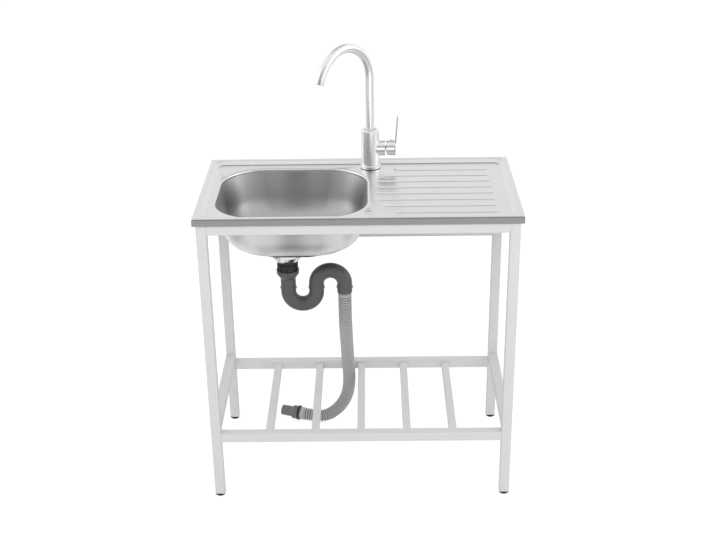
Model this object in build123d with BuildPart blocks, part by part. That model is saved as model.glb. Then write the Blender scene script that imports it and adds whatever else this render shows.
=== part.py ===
from build123d import *

import math
import os

# Free-standing kitchen sink unit: a pressed steel deck with one bowl and a ribbed drainer,
# on a square-tube stand with a slatted shelf, with a side-lever mixer tap, a basket
# strainer, an S-shaped trap and a ribbed drain hose.
# Millimetres. +Z is up, +X to the user's right, and the user stands on the -Y side.
# The origin is on the floor, under the middle of the deck.

# --- Deck: one pressed sheet -----------------------------------------------------------
deck_width = 800.0
deck_depth = 430.0
deck_height = 800.0        # top of the rim above the floor
sheet = 1.0                # thickness of the pressed sheet
lip_height = 18.0          # turned-down edge
hem_width = 25.0           # edge folded back inwards, which rests on the stand
deck_corner = 5.0
deck_edge_radius = 2.5
rim_width = 15.0           # flat rim round the recess
step_run = 10.0            # sloping step from the rim into the recess, in plan
recess_depth = 8.0
recess_corner = 26.0
step_radius = 3.0

# --- Raised beads of the drainer -------------------------------------------------------
bead_count = 8
bead_side_margin = 45.0    # from the deck's front and back edges to the beads' strip
bead_width = 27.0
bead_height = 2.5
bead_slope = 3.0           # how far each side of a bead slopes in, in plan
bead_right_margin = 54.0   # from the deck's right edge
bead_bowl_gaps = (68.0, 40.0, 22.0, 22.0, 22.0, 22.0, 40.0, 68.0)   # from the bowl

# --- Unpunched spare tap place beside the bowl ------------------------------------------
dimple_beside = 3.0        # from the bowl's right side to the dimple's middle
dimple_front_margin = 69.0
dimple_radius = 16.5
dimple_height = 2.0

# --- Bowl ------------------------------------------------------------------------------
bowl_left_margin = 44.0    # from the deck's edges to the bowl
bowl_front_margin = 33.0
bowl_back_margin = 61.0
bowl_width = 378.0
bowl_corner = 105.0
bowl_depth = 144.0         # from the rim's top to the inside of the bowl's floor
bowl_draft = 12.0          # how far each wall leans in by the floor
bowl_floor_radius = 75.0
bowl_floor_corner = 80.0   # corners of the flat floor, in plan
bowl_turn_steps = 8        # flat steps in which the wall turns into the floor
bowl_wall = 1.0
roll_radius = 6.0          # where the deck rolls down into the bowl
collar_drop = 8.0          # how far the rolled edge goes down to the weld

# --- Damping pad under the bowl ----------------------------------------------------------
pad_end_overhang = 10.0    # beyond the flat of the bowl's floor, front and back
pad_corner = 70.0
pad_thickness = 5.0
pad_hole_radius = 60.0

# --- Square-tube stand -----------------------------------------------------------------
tube = 25.0
tube_wall = 1.5
tube_corner = 2.0
side_overhang = 9.0        # deck beyond the legs, each side
front_overhang = 3.0
back_overhang = 17.0
brace_top = 609.0          # rear brace between the back legs
shelf_top = 194.0          # top of the shelf's front and back rails
slat_count = 5
slat_pitch = 120.5
slat_size = 20.0
slat_wall = 1.2

# --- Feet ------------------------------------------------------------------------------
foot_radius = 11.0
foot_height = 5.0
foot_stud_radius = 4.0
foot_stud_length = 30.0
plug_flange = 3.0
plug_depth = 20.0
plug_clearance = 0.1
running_clearance = 0.05

# --- Basket strainer, on the drain's axis ------------------------------------------------
drain_offset_x = -21.0     # from the bowl's middle
drain_offset_y = 0.0
drain_hole_radius = 44.0
flange_radius = 56.0
flange_thickness = 2.0
cup_radius = 43.0
cup_wall = 1.5
cup_straight = 34.0        # straight wall below the bowl
cup_depth = 50.0           # whole cup below the bowl
cup_base_radius = 31.0
outlet_radius = 21.0       # threaded outlet below the cup
outlet_length = 37.0
outlet_wall = 2.0
gasket_thickness = 4.0
gasket_radius = 54.0
locknut_height = 10.0
locknut_radius = 52.0
locknut_notches = 8
thread_clearance = 0.1
basket_base_radius = 29.5
basket_top_radius = 40.5
basket_height = 46.0
basket_wall = 1.2
basket_slots = 8
basket_slot_width = 4.0
basket_slot_height = 24.0
basket_post_radius = 4.0
basket_knob_radius = 8.0
basket_knob_height = 8.0
stopper_radius = 23.0
stopper_thickness = 3.0

# --- Trap ------------------------------------------------------------------------------
trap_radius = 20.0         # outside of the pipe
trap_wall = 3.5
trap_bend = 37.0           # both bends, on the pipe's axis
slip_nut_radius = 27.5
slip_nut_height = 27.5
slip_nut_grips = 12
slip_nut_band = 9.0        # plain band at the nut's top
slip_nut_band_radius = 26.3
slip_nut_groove = 2.0      # below the band
slip_nut_groove_radius = 25.0
slip_washer_thickness = 1.5
inlet_radius = 29.5        # flared inlet of the trap
inlet_rim = 10.0
inlet_taper = 15.0
low_bend_drop = 39.0       # from the flare down to the first bend
bend_rise = 22.0           # from the first bend up to the second
outlet_drop = 24.0         # from the second bend down to the hose
lug_proud = 1.5
lug_width = 4.0
lug_height = 6.0

# --- Drain hose ------------------------------------------------------------------------
hose_radius = 18.0
hose_valley_radius = 15.8
hose_bore_radius = 13.5
hose_cuff = 14.0           # plain length at each end
rib_count = 42
connector_collar_radius = 19.5
connector_collar_length = 20.0
connector_shoulder = 6.0
connector_spigot_radius = 15.0
connector_spigot_length = 30.0
connector_bore_radius = 12.0
connector_chamfer = 1.5
ring_radius = 21.2
ring_length = 6.0
ring_clearance = 0.1

# --- Mixer tap -------------------------------------------------------------------------
tap_beside = 9.0           # from the bowl's right side to the tap's axis
tap_margin = 1.0           # from the base ring to the recess's step
tap_gasket_thickness = 1.5
base_ring_radius = 26.5
base_ring_height = 9.0
body_radius = 24.5
body_height = 95.5
body_edge = 2.0
shank_radius = 16.5
shank_length = 57.0        # below the deck's recess
shank_clearance = 0.5
deck_hole_clearance = 1.0
inlet_bore_radius = 4.5
inlet_bore_depth = 15.0
inlet_pitch = 16.0
mount_gasket_thickness = 4.0
mount_gasket_radius = 26.5
mount_washer_thickness = 2.0
mount_washer_radius = 25.5
mount_nut_thickness = 10.0
mount_nut_flats = 44.0
neck_height = 43.5         # axis of the side neck above the body's foot
neck_radius = 20.0
neck_length = 39.5         # from the tap's axis
cartridge_radius = 15.8
cartridge_clearance = 0.2
cartridge_length = 34.0
cartridge_back = 5.0       # how far the bore goes past the tap's axis
cartridge_nut_length = 10.2
cartridge_nut_bore = 8.5
stem_radius = 6.0
stem_depth = 16.0          # how far the spindle goes into the cartridge
stem_reach = 15.5          # how far it stands out of the neck
handle_gap = 2.5           # from the neck to the handle
pivot_setback = 5.0        # from the handle's inner end to the tilt pin
pin_radius = 2.0
pin_length = 37.0
cap_radius = 20.0
cap_length = 21.8
cap_cavity_radius = 16.5
cap_end_wall = 5.0
cap_relief_start = 6.0     # below the axis, where the lower relief starts
cap_relief_angle = 21.0
lever_thickness = 3.5
lever_rise = 81.0          # from the axis to the middle of the rounded tip
lever_root_radius = 12.0
lever_tip_radius = 8.0
lever_lean = 4.5           # degrees, outwards
plug_button_radius = 3.0
plug_button_height = 4.5
plug_button_seat = 2.0
plug_button_inset = 7.5    # from the cap's outer end

# --- Spout -----------------------------------------------------------------------------
spout_radius = 11.5
spout_wall = 1.5
spout_seat = 27.0          # how deep the spout sits in the body
spout_rise = 134.5         # from the body's top to the start of the arch
arch_radius = 102.0
arch_angle = 155.5
spout_turn = 38.5          # degrees that the spout is turned to the user's left
bush_wall = 1.85
bush_flange = 1.2
bush_flange_radius = 15.0
aerator_radius = 12.2
aerator_length = 11.5
aerator_wall = 1.6
mesh_thickness = 3.0
mesh_setback = 1.5
mesh_opening = 3.0
mesh_pitch = 4.5

os.makedirs("parts", exist_ok=True)


def save(piece, name):
    """Label a finished piece and write its STEP file."""
    piece.part.label = name
    export_step(piece.part, f"parts/{name}.step")
    return piece.part


def upright(x, y):
    """Vertical plane through (x, y): its first axis is +X and its second is +Z."""
    return Plane(origin=(x, y, 0), x_dir=(1, 0, 0), z_dir=(0, -1, 0))


def vertical_axis(x, y):
    return Axis((x, y, 0), (0, 0, 1))


# =======================================================================================
# Stand
# =======================================================================================
hem_z = deck_height - lip_height
frame_side = deck_width / 2 - side_overhang
frame_front = -deck_depth / 2 + front_overhang
frame_back = deck_depth / 2 - back_overhang
leg_foot = foot_height + plug_flange
inner_side = frame_side - tube
inner_front = frame_front + tube
inner_back = frame_back - tube
tube_inside = tube - 2 * tube_wall

leg_places = {
    "front_left": (-frame_side + tube / 2, frame_front + tube / 2),
    "front_right": (frame_side - tube / 2, frame_front + tube / 2),
    "back_left": (-frame_side + tube / 2, frame_back - tube / 2),
    "back_right": (frame_side - tube / 2, frame_back - tube / 2),
}

for corner, place in leg_places.items():
    with BuildPart() as leg:
        with BuildSketch(Plane.XY.offset(leg_foot)):
            with Locations(place):
                RectangleRounded(tube, tube, tube_corner)
                Rectangle(tube_inside, tube_inside, mode=Mode.SUBTRACT)
        extrude(amount=hem_z - leg_foot)
    save(leg, f"leg_{corner}")

    with BuildPart() as leg_plug:
        with BuildSketch(Plane.XY.offset(leg_foot - plug_flange)):
            with Locations(place):
                RectangleRounded(tube, tube, tube_corner)
        extrude(amount=plug_flange)
        with BuildSketch(Plane.XY.offset(leg_foot)):
            with Locations(place):
                Rectangle(tube_inside - 2 * plug_clearance, tube_inside - 2 * plug_clearance)
        extrude(amount=plug_depth)
        with BuildSketch(Plane.XY.offset(leg_foot - plug_flange)):
            with Locations(place):
                Circle(foot_stud_radius + running_clearance)
        extrude(amount=plug_flange + plug_depth, mode=Mode.SUBTRACT)
    save(leg_plug, f"leg_plug_{corner}")

    with BuildPart() as foot:
        with BuildSketch():
            with Locations(place):
                Circle(foot_radius)
        extrude(amount=foot_height)
        chamfer(foot.edges().group_by(Axis.Z)[-1], length=foot_height / 4)
        with BuildSketch(Plane.XY.offset(foot_height)):
            with Locations(place):
                Circle(foot_stud_radius)
        extrude(amount=foot_stud_length)
    save(foot, f"levelling_foot_{corner}")

# Rails across the stand, welded from leg to leg: (front face, top)
cross_rails = {
    "top_rail_front": (frame_front, hem_z),
    "rear_brace": (inner_back, brace_top),
    "shelf_rail_front": (frame_front, shelf_top),
    "shelf_rail_back": (inner_back, shelf_top),
}

for rail_name, (front_face, top) in cross_rails.items():
    with BuildPart() as cross_rail:
        with BuildSketch(Plane.YZ.offset(-inner_side)):
            with Locations((front_face + tube / 2, top - tube / 2)):
                RectangleRounded(tube, tube, tube_corner)
                Rectangle(tube_inside, tube_inside, mode=Mode.SUBTRACT)
        extrude(amount=2 * inner_side)
    save(cross_rail, rail_name)

# Side rails. The shelf's side rails sit one tube higher than its front and back rails.
side_rails = {"top_rail": hem_z, "shelf_rail": shelf_top + tube}
for rail_name, top in side_rails.items():
    for side, sign in (("left", -1), ("right", 1)):
        with BuildPart() as side_rail:
            with BuildSketch(Plane.XZ.offset(-inner_back)):
                with Locations((sign * (frame_side - tube / 2), top - tube / 2)):
                    RectangleRounded(tube, tube, tube_corner)
                    Rectangle(tube_inside, tube_inside, mode=Mode.SUBTRACT)
            extrude(amount=inner_back - inner_front)
        save(side_rail, f"{rail_name}_{side}")

# Shelf slats, flush with the rails' lower faces
slat_z = shelf_top - tube + slat_size / 2
for index in range(slat_count):
    slat_x = (index - (slat_count - 1) / 2) * slat_pitch
    with BuildPart() as slat:
        with BuildSketch(Plane.XZ.offset(-inner_back)):
            with Locations((slat_x, slat_z)):
                RectangleRounded(slat_size, slat_size, tube_corner)
                Rectangle(slat_size - 2 * slat_wall, slat_size - 2 * slat_wall,
                          mode=Mode.SUBTRACT)
        extrude(amount=inner_back - inner_front)
    save(slat, f"shelf_slat_{index + 1}")

# =======================================================================================
# Deck
# =======================================================================================
recess_z = deck_height - recess_depth
collar_z = recess_z - collar_drop
bowl_length = deck_depth - bowl_front_margin - bowl_back_margin
bowl_x = -deck_width / 2 + bowl_left_margin + bowl_width / 2
bowl_y = (bowl_front_margin - bowl_back_margin) / 2
bowl_right = bowl_x + bowl_width / 2
dimple_x = bowl_right + dimple_beside
dimple_y = -deck_depth / 2 + dimple_front_margin
bead_pitch = (deck_depth - 2 * bead_side_margin) / bead_count
bead_right_end = deck_width / 2 - bead_right_margin
tap_x = bowl_right + tap_beside
tap_y = deck_depth / 2 - rim_width - step_run - tap_margin - base_ring_radius
drain_x = bowl_x + drain_offset_x
drain_y = bowl_y + drain_offset_y


def bead_places():
    """Left end, right end and Y of each bead's middle line."""
    for number, gap in enumerate(bead_bowl_gaps[:bead_count]):
        yield bowl_right + gap, bead_right_end, (number - (bead_count - 1) / 2) * bead_pitch


def pressed_form(skin):
    """The pressed shape as a solid block, drawn in by skin: nothing for the upper side of
    the sheet, one sheet's thickness for its lower side."""
    with BuildPart() as form:
        with BuildSketch(Plane.XY.offset(hem_z + skin)):
            RectangleRounded(deck_width - 2 * skin, deck_depth - 2 * skin, deck_corner - skin)
        extrude(amount=lip_height - 2 * skin)
        fillet(form.edges().group_by(Axis.Z)[-1], radius=deck_edge_radius - skin)
        # recess with sloping sides
        with BuildSketch(Plane.XY.offset(deck_height - skin)):
            RectangleRounded(deck_width - 2 * rim_width + 2 * skin,
                             deck_depth - 2 * rim_width + 2 * skin, recess_corner + skin)
        with BuildSketch(Plane.XY.offset(recess_z - skin)):
            inset = 2 * (rim_width + step_run)
            RectangleRounded(deck_width - inset + 2 * skin, deck_depth - inset + 2 * skin,
                             recess_corner - step_run + skin)
        loft(ruled=True, mode=Mode.SUBTRACT)
        floor_edges = form.edges().filter_by(
            lambda edge: abs(edge.center().Z - (recess_z - skin)) < 0.01)
        fillet(floor_edges, radius=step_radius + skin)
        top_edges = form.edges().filter_by(
            lambda edge: abs(edge.center().Z - (deck_height - skin)) < 0.01
            and abs(edge.center().X) < deck_width / 2 - rim_width + 2
            and abs(edge.center().Y) < deck_depth / 2 - rim_width + 2)
        fillet(top_edges, radius=step_radius - skin)
        # opening with its rolled edge
        with BuildSketch(Plane.XY.offset(hem_z)):
            with Locations((bowl_x, bowl_y)):
                RectangleRounded(bowl_width + 2 * skin, bowl_length + 2 * skin,
                                 bowl_corner + skin)
        extrude(amount=lip_height, mode=Mode.SUBTRACT)
        roll_edges = form.edges().filter_by(
            lambda edge: abs(edge.center().Z - (recess_z - skin)) < 0.01
            and abs(edge.center().X - bowl_x) < bowl_width / 2 + skin + 0.5
            and abs(edge.center().Y - bowl_y) < bowl_length / 2 + skin + 0.5)
        fillet(roll_edges, radius=roll_radius - skin)
        # raised beads
        for left, right, bead_y in bead_places():
            length = right - left - 2 * skin
            middle = (left + right) / 2
            with BuildSketch(Plane.XY.offset(recess_z - skin)):
                with Locations((middle, bead_y)):
                    SlotOverall(length, bead_width - 2 * skin)
            with BuildSketch(Plane.XY.offset(recess_z - skin + bead_height)):
                with Locations((middle, bead_y)):
                    SlotOverall(length - 2 * bead_slope,
                                bead_width - 2 * skin - 2 * bead_slope)
            loft(ruled=True)
        # spare tap place
        with BuildSketch(Plane.XY.offset(recess_z - skin)):
            with Locations((dimple_x, dimple_y)):
                Circle(dimple_radius - skin)
        extrude(amount=dimple_height, taper=45)
    return form.part


with BuildPart() as sink_deck:
    add(pressed_form(0))
    add(pressed_form(sheet), mode=Mode.SUBTRACT)
    # the hem's inner edge, and the lower end of the rolled collar
    with BuildSketch(Plane.XY.offset(hem_z)):
        Rectangle(deck_width - 2 * hem_width, deck_depth - 2 * hem_width)
    extrude(amount=collar_z - hem_z, mode=Mode.SUBTRACT)
    with BuildSketch(Plane.XY.offset(collar_z)):
        with Locations((tap_x, tap_y)):
            Circle(shank_radius + deck_hole_clearance)
    extrude(amount=lip_height, mode=Mode.SUBTRACT)
save(sink_deck, "sink_deck")

# =======================================================================================
# Bowl and pad
# =======================================================================================
bowl_floor_z = deck_height - bowl_depth
bowl_under_z = bowl_floor_z - bowl_wall


def bowl_form(skin):
    """The bowl as a solid: nothing for the inside, one wall's thickness for the outside.
    The wall leans in, then turns into the floor in flat steps of a quarter circle, and
    the corners grow a little tighter on the way down."""
    radius = bowl_floor_radius + skin
    sections = [(collar_z, -skin)]
    for step in range(bowl_turn_steps + 1):
        angle = math.pi / 2 * step / bowl_turn_steps
        sections.append((bowl_floor_z - skin + radius * (1 - math.sin(angle)),
                         bowl_draft - skin + radius * (1 - math.cos(angle))))
    with BuildPart() as form:
        for height, inset in sections:
            share = (inset + skin) / (bowl_draft + radius)
            corner = bowl_corner + skin + (bowl_floor_corner - bowl_corner - skin) * share
            corner = min(corner, bowl_width / 2 - inset - 1, bowl_length / 2 - inset - 1)
            with BuildSketch(Plane.XY.offset(height)):
                with Locations((bowl_x, bowl_y)):
                    RectangleRounded(bowl_width - 2 * inset, bowl_length - 2 * inset, corner)
        loft(ruled=True)
    return form.part


with BuildPart() as sink_bowl:
    add(bowl_form(bowl_wall))
    add(bowl_form(0), mode=Mode.SUBTRACT)
    with BuildSketch(Plane.XY.offset(bowl_under_z)):
        with Locations((drain_x, drain_y)):
            Circle(drain_hole_radius)
    extrude(amount=2 * bowl_wall, mode=Mode.SUBTRACT)
save(sink_bowl, "sink_bowl")

floor_inset = bowl_draft + bowl_floor_radius
pad_width = bowl_width - 2 * floor_inset
pad_length = bowl_length - 2 * (floor_inset - pad_end_overhang)

with BuildPart() as damping_pad:
    with BuildSketch(Plane.XY.offset(bowl_under_z - pad_thickness)):
        with Locations((bowl_x, bowl_y)):
            RectangleRounded(pad_width, pad_length, min(pad_corner, pad_length / 2 - 1))
        with Locations((drain_x, drain_y)):
            Circle(pad_hole_radius, mode=Mode.SUBTRACT)
    extrude(amount=pad_thickness)
save(damping_pad, "damping_pad")

# =======================================================================================
# Strainer
# =======================================================================================
drain_plane = upright(drain_x, drain_y)
drain_axis = vertical_axis(drain_x, drain_y)
cup_bottom_z = bowl_under_z - cup_depth
cup_shoulder_z = bowl_under_z - cup_straight
outlet_end_z = cup_bottom_z - outlet_length

with BuildPart() as strainer_body:
    with BuildSketch(drain_plane):
        with BuildLine():
            Polyline(
                (flange_radius, bowl_floor_z),
                (flange_radius, bowl_floor_z + flange_thickness),
                (cup_radius - cup_wall, bowl_floor_z + flange_thickness),
                (cup_radius - cup_wall, cup_shoulder_z),
                (cup_base_radius - cup_wall, cup_bottom_z + cup_wall),
                (outlet_radius - outlet_wall, cup_bottom_z + cup_wall),
                (outlet_radius - outlet_wall, outlet_end_z),
                (outlet_radius, outlet_end_z),
                (outlet_radius, cup_bottom_z),
                (cup_base_radius, cup_bottom_z),
                (cup_radius, cup_shoulder_z),
                (cup_radius, bowl_floor_z),
                close=True,
            )
        make_face()
    revolve(axis=drain_axis)
    rim = strainer_body.edges().filter_by(GeomType.CIRCLE).group_by(Axis.Z)[-1]
    chamfer(rim, length=flange_thickness / 3)
save(strainer_body, "strainer_body")

with BuildPart() as strainer_gasket:
    with BuildSketch(Plane.XY.offset(bowl_under_z - gasket_thickness)):
        with Locations((drain_x, drain_y)):
            Circle(gasket_radius)
            Circle(cup_radius + thread_clearance, mode=Mode.SUBTRACT)
    extrude(amount=gasket_thickness)
save(strainer_gasket, "strainer_gasket")

with BuildPart() as strainer_locknut:
    with BuildSketch(Plane.XY.offset(bowl_under_z - gasket_thickness - locknut_height)):
        with Locations((drain_x, drain_y)):
            Circle(locknut_radius)
            Circle(cup_radius + thread_clearance, mode=Mode.SUBTRACT)
            with PolarLocations(locknut_radius, locknut_notches):
                Rectangle(locknut_height / 2, locknut_height, mode=Mode.SUBTRACT)
    extrude(amount=locknut_height)
save(strainer_locknut, "strainer_locknut")

# Lift-out basket with a rubber stopper under it
stopper_z = cup_bottom_z + cup_wall
basket_z = stopper_z + stopper_thickness
basket_top_z = basket_z + basket_height
basket_floor_z = basket_z + basket_wall
with BuildPart() as basket:
    with BuildSketch(drain_plane):
        with BuildLine():
            Polyline(
                (0, basket_z),
                (basket_base_radius, basket_z),
                (basket_top_radius, basket_top_z),
                (basket_top_radius - 2 * basket_wall, basket_top_z),
                (basket_base_radius - basket_wall, basket_floor_z),
                (basket_post_radius, basket_floor_z),
                (basket_post_radius, basket_top_z - basket_knob_height),
                (basket_knob_radius, basket_top_z - basket_knob_height),
                (basket_knob_radius, basket_top_z),
                (0, basket_top_z),
                close=True,
            )
        make_face()
    revolve(axis=drain_axis)
    slot_middle_z = basket_floor_z + basket_height / 2
    with BuildSketch(Plane.XY.offset(slot_middle_z - basket_slot_height / 2)):
        with Locations((drain_x, drain_y)):
            with PolarLocations(basket_top_radius - basket_wall, basket_slots):
                Rectangle(basket_top_radius - basket_base_radius + 4 * basket_wall,
                          basket_slot_width)
    extrude(amount=basket_slot_height, mode=Mode.SUBTRACT)
save(basket, "basket")

with BuildPart() as basket_stopper:
    with BuildSketch(Plane.XY.offset(stopper_z)):
        with Locations((drain_x, drain_y)):
            Circle(stopper_radius)
    extrude(amount=stopper_thickness)
    chamfer(basket_stopper.edges().group_by(Axis.Z)[0], length=stopper_thickness / 2)
save(basket_stopper, "basket_stopper")

# =======================================================================================
# Trap
# =======================================================================================
slip_nut_z = cup_bottom_z - slip_nut_height
inlet_z = slip_nut_z - slip_washer_thickness
flare_end_z = inlet_z - inlet_rim - inlet_taper
low_bend_z = flare_end_z - low_bend_drop
high_bend_z = low_bend_z + bend_rise
trap_end_z = high_bend_z - outlet_drop
trap_end_x = drain_x + 4 * trap_bend

with BuildPart() as slip_nut:
    with BuildSketch(Plane.XY.offset(slip_nut_z)):
        with Locations((drain_x, drain_y)):
            Circle(slip_nut_radius)
            with PolarLocations(slip_nut_radius, slip_nut_grips):
                Rectangle(slip_nut_radius / 10, slip_nut_radius / 5, mode=Mode.SUBTRACT)
    extrude(amount=slip_nut_height - slip_nut_band - slip_nut_groove)
    with BuildSketch(Plane.XY.offset(cup_bottom_z - slip_nut_band - slip_nut_groove)):
        with Locations((drain_x, drain_y)):
            Circle(slip_nut_groove_radius)
    extrude(amount=slip_nut_groove)
    with BuildSketch(Plane.XY.offset(cup_bottom_z - slip_nut_band)):
        with Locations((drain_x, drain_y)):
            Circle(slip_nut_band_radius)
    extrude(amount=slip_nut_band)
    with BuildSketch(Plane.XY.offset(slip_nut_z)):
        with Locations((drain_x, drain_y)):
            Circle(outlet_radius + thread_clearance)
    extrude(amount=slip_nut_height, mode=Mode.SUBTRACT)
save(slip_nut, "slip_nut")

with BuildPart() as slip_washer:
    with BuildSketch(Plane.XY.offset(inlet_z)):
        with Locations((drain_x, drain_y)):
            Circle(slip_nut_radius - slip_washer_thickness)
            Circle(outlet_radius + thread_clearance, mode=Mode.SUBTRACT)
    extrude(amount=slip_washer_thickness)
save(slip_washer, "slip_washer")

# The pipe's middle line: down, round under, up, round over, down
with BuildLine(drain_plane) as trap_path:
    limb_1 = Line((0, inlet_z), (0, low_bend_z))
    low_bend = CenterArc((trap_bend, low_bend_z), trap_bend, 180, 180)
    limb_2 = Line((2 * trap_bend, low_bend_z), (2 * trap_bend, high_bend_z))
    high_bend = CenterArc((3 * trap_bend, high_bend_z), trap_bend, 180, -180)
    limb_3 = Line((4 * trap_bend, high_bend_z), (4 * trap_bend, trap_end_z))

with BuildPart() as s_trap:
    with BuildSketch(Plane.XY.offset(inlet_z)):
        with Locations((drain_x, drain_y)):
            Circle(trap_radius)
    sweep(path=trap_path.wires()[0])
    with BuildSketch(drain_plane):
        with BuildLine():
            Polyline(
                (0, inlet_z),
                (inlet_radius, inlet_z),
                (inlet_radius, inlet_z - inlet_rim),
                (trap_radius, flare_end_z),
                (0, flare_end_z),
                close=True,
            )
        make_face()
    revolve(axis=drain_axis)
    # small moulded lugs on the parting line of each limb
    lug_z = low_bend_z + bend_rise / 2
    with BuildSketch(drain_plane):
        for limb in (0, 2, 4):
            with Locations((limb * trap_bend, lug_z)):
                Rectangle(2 * (trap_radius + lug_proud), lug_height)
    extrude(amount=lug_width / 2, both=True)
    # bore, and the socket that takes the strainer's outlet
    with BuildSketch(Plane.XY.offset(inlet_z)):
        with Locations((drain_x, drain_y)):
            Circle(trap_radius - trap_wall)
    sweep(path=trap_path.wires()[0], mode=Mode.SUBTRACT)
    with BuildSketch(Plane.XY.offset(inlet_z)):
        with Locations((drain_x, drain_y)):
            Circle(outlet_radius + thread_clearance)
    extrude(amount=-inlet_rim, mode=Mode.SUBTRACT)
save(s_trap, "s_trap")

# =======================================================================================
# Drain hose: out of the trap, back and down between two slats, and along the floor
# =======================================================================================
hose_points = [
    Vector(trap_end_x, drain_y, trap_end_z),
    Vector(trap_end_x, drain_y, trap_end_z - 63),
    Vector(-39.5, 5, 388),
    Vector(-38.5, 55, 315),
    Vector(-38, 104, 240),
    Vector(-36, 134, 184),
    Vector(-36, 146, 132),
    Vector(-45, 152, 86),
    Vector(-69, 156, 46),
    Vector(-101, 157, 22),
    Vector(-131, 157, 18.5),
    Vector(-183, 171.5, 21.3),
]
share_of_run = 0.45        # of the shorter run, taken up by each corner's arc


def corner_radii(points):
    """The largest arc that each corner's two runs allow."""
    radii = []
    for before, corner, after in zip(points, points[1:], points[2:]):
        run_in = corner - before
        run_out = after - corner
        half_turn = math.radians(run_in.get_angle(run_out)) / 2
        radii.append(share_of_run * min(run_in.length, run_out.length) / math.tan(half_turn))
    return radii


hose_radii = corner_radii(hose_points)
print("hose corner radii:", [round(radius) for radius in hose_radii])
with BuildLine() as hose_path:
    FilletPolyline(*hose_points, radius=hose_radii)
hose_wire = hose_path.wires()[0]
hose_length = hose_wire.length
rib_pitch = (hose_length - 2 * hose_cuff) / rib_count
print("hose length:", round(hose_length, 1), "rib pitch:", round(rib_pitch, 2))
print("least gap between ribs:", round(rib_pitch * 0.4, 2))

# Each rib is four rings: valley, crest, crest, valley
rings = [(0, hose_radius), (hose_cuff, hose_radius)]
for rib in range(rib_count):
    start = hose_cuff + rib * rib_pitch
    for share, radius in ((0.1, hose_valley_radius), (0.4, hose_valley_radius),
                          (0.5, hose_radius), (1.0, hose_radius)):
        rings.append((start + share * rib_pitch, radius))
rings.append((hose_length, hose_radius))

with BuildPart() as drain_hose:
    for along, radius in rings:
        spot = along / hose_length
        with BuildSketch(Plane(origin=hose_wire @ spot, x_dir=(0, 1, 0),
                               z_dir=hose_wire % spot)):
            Circle(radius)
    loft(ruled=True)
    with BuildSketch(Plane(origin=hose_points[0], z_dir=(0, 0, -1))):
        Circle(hose_bore_radius)
    sweep(path=hose_wire, mode=Mode.SUBTRACT)
save(drain_hose, "drain_hose")
ring_section = math.pi * (hose_radius**2 - hose_bore_radius**2)
print("hose volume:", round(drain_hose.part.volume), "plain tube:",
      round(ring_section * hose_length))

connector_face = Plane(origin=hose_points[-1], z_dir=hose_points[-1] - hose_points[-2])
with BuildPart() as hose_connector:
    with BuildSketch(connector_face):
        Circle(connector_collar_radius)
    extrude(amount=connector_collar_length)
    with BuildSketch(connector_face.offset(connector_collar_length)):
        Circle(connector_collar_radius)
    with BuildSketch(connector_face.offset(connector_collar_length + connector_shoulder)):
        Circle(connector_spigot_radius)
    loft(ruled=True)
    with BuildSketch(connector_face.offset(connector_collar_length + connector_shoulder)):
        Circle(connector_spigot_radius)
    extrude(amount=connector_spigot_length)
    tip = hose_connector.faces().sort_by(Axis(hose_points[-1], connector_face.z_dir))[-1]
    chamfer(tip.edges(), length=connector_chamfer)
    with BuildSketch(connector_face):
        Circle(connector_bore_radius)
    extrude(amount=connector_collar_length + connector_shoulder + connector_spigot_length,
            mode=Mode.SUBTRACT)
save(hose_connector, "hose_connector")

with BuildPart() as connector_ring:
    with BuildSketch(connector_face):
        Circle(ring_radius)
        Circle(connector_collar_radius + ring_clearance, mode=Mode.SUBTRACT)
    extrude(amount=ring_length)
save(connector_ring, "connector_ring")

# =======================================================================================
# Mixer tap
# =======================================================================================
tap_plane = upright(tap_x, tap_y)
tap_axis = vertical_axis(tap_x, tap_y)
ring_z = recess_z + tap_gasket_thickness
body_z = ring_z + base_ring_height
body_top_z = body_z + body_height
neck_z = body_z + neck_height
neck_end_x = tap_x + neck_length
shank_end_z = recess_z - shank_length

with BuildPart() as base_gasket:
    with BuildSketch(Plane.XY.offset(recess_z)):
        with Locations((tap_x, tap_y)):
            Circle(base_ring_radius - shank_clearance)
            Circle(shank_radius + shank_clearance, mode=Mode.SUBTRACT)
    extrude(amount=tap_gasket_thickness)
save(base_gasket, "tap_base_gasket")

with BuildPart() as base_ring:
    with BuildSketch(Plane.XY.offset(ring_z)):
        with Locations((tap_x, tap_y)):
            Circle(base_ring_radius)
            Circle(shank_radius + shank_clearance, mode=Mode.SUBTRACT)
    extrude(amount=base_ring_height)
    outer_rim = base_ring.edges().filter_by(GeomType.CIRCLE).sort_by(SortBy.RADIUS)[-2:]
    chamfer(outer_rim.group_by(Axis.Z)[-1], length=base_ring_radius - body_radius)
save(base_ring, "tap_base_ring")

with BuildPart() as faucet_body:
    with BuildSketch(Plane.XY.offset(body_z)):
        with Locations((tap_x, tap_y)):
            Circle(body_radius)
    extrude(amount=body_height)
    chamfer(faucet_body.edges().group_by(Axis.Z)[-1], length=body_edge)
    with BuildSketch(Plane.YZ.offset(tap_x)):
        with Locations((tap_y, neck_z)):
            Circle(neck_radius)
    extrude(amount=neck_length)
    # seat of the spout
    with BuildSketch(Plane.XY.offset(body_top_z)):
        with Locations((tap_x, tap_y)):
            Circle(spout_radius + running_clearance + bush_wall + running_clearance)
    extrude(amount=-spout_seat, mode=Mode.SUBTRACT)
    # seat of the cartridge
    with BuildSketch(Plane.YZ.offset(neck_end_x)):
        with Locations((tap_y, neck_z)):
            Circle(cartridge_radius + cartridge_clearance)
    extrude(amount=-neck_length - cartridge_back, mode=Mode.SUBTRACT)
save(faucet_body, "faucet_body")

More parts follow.
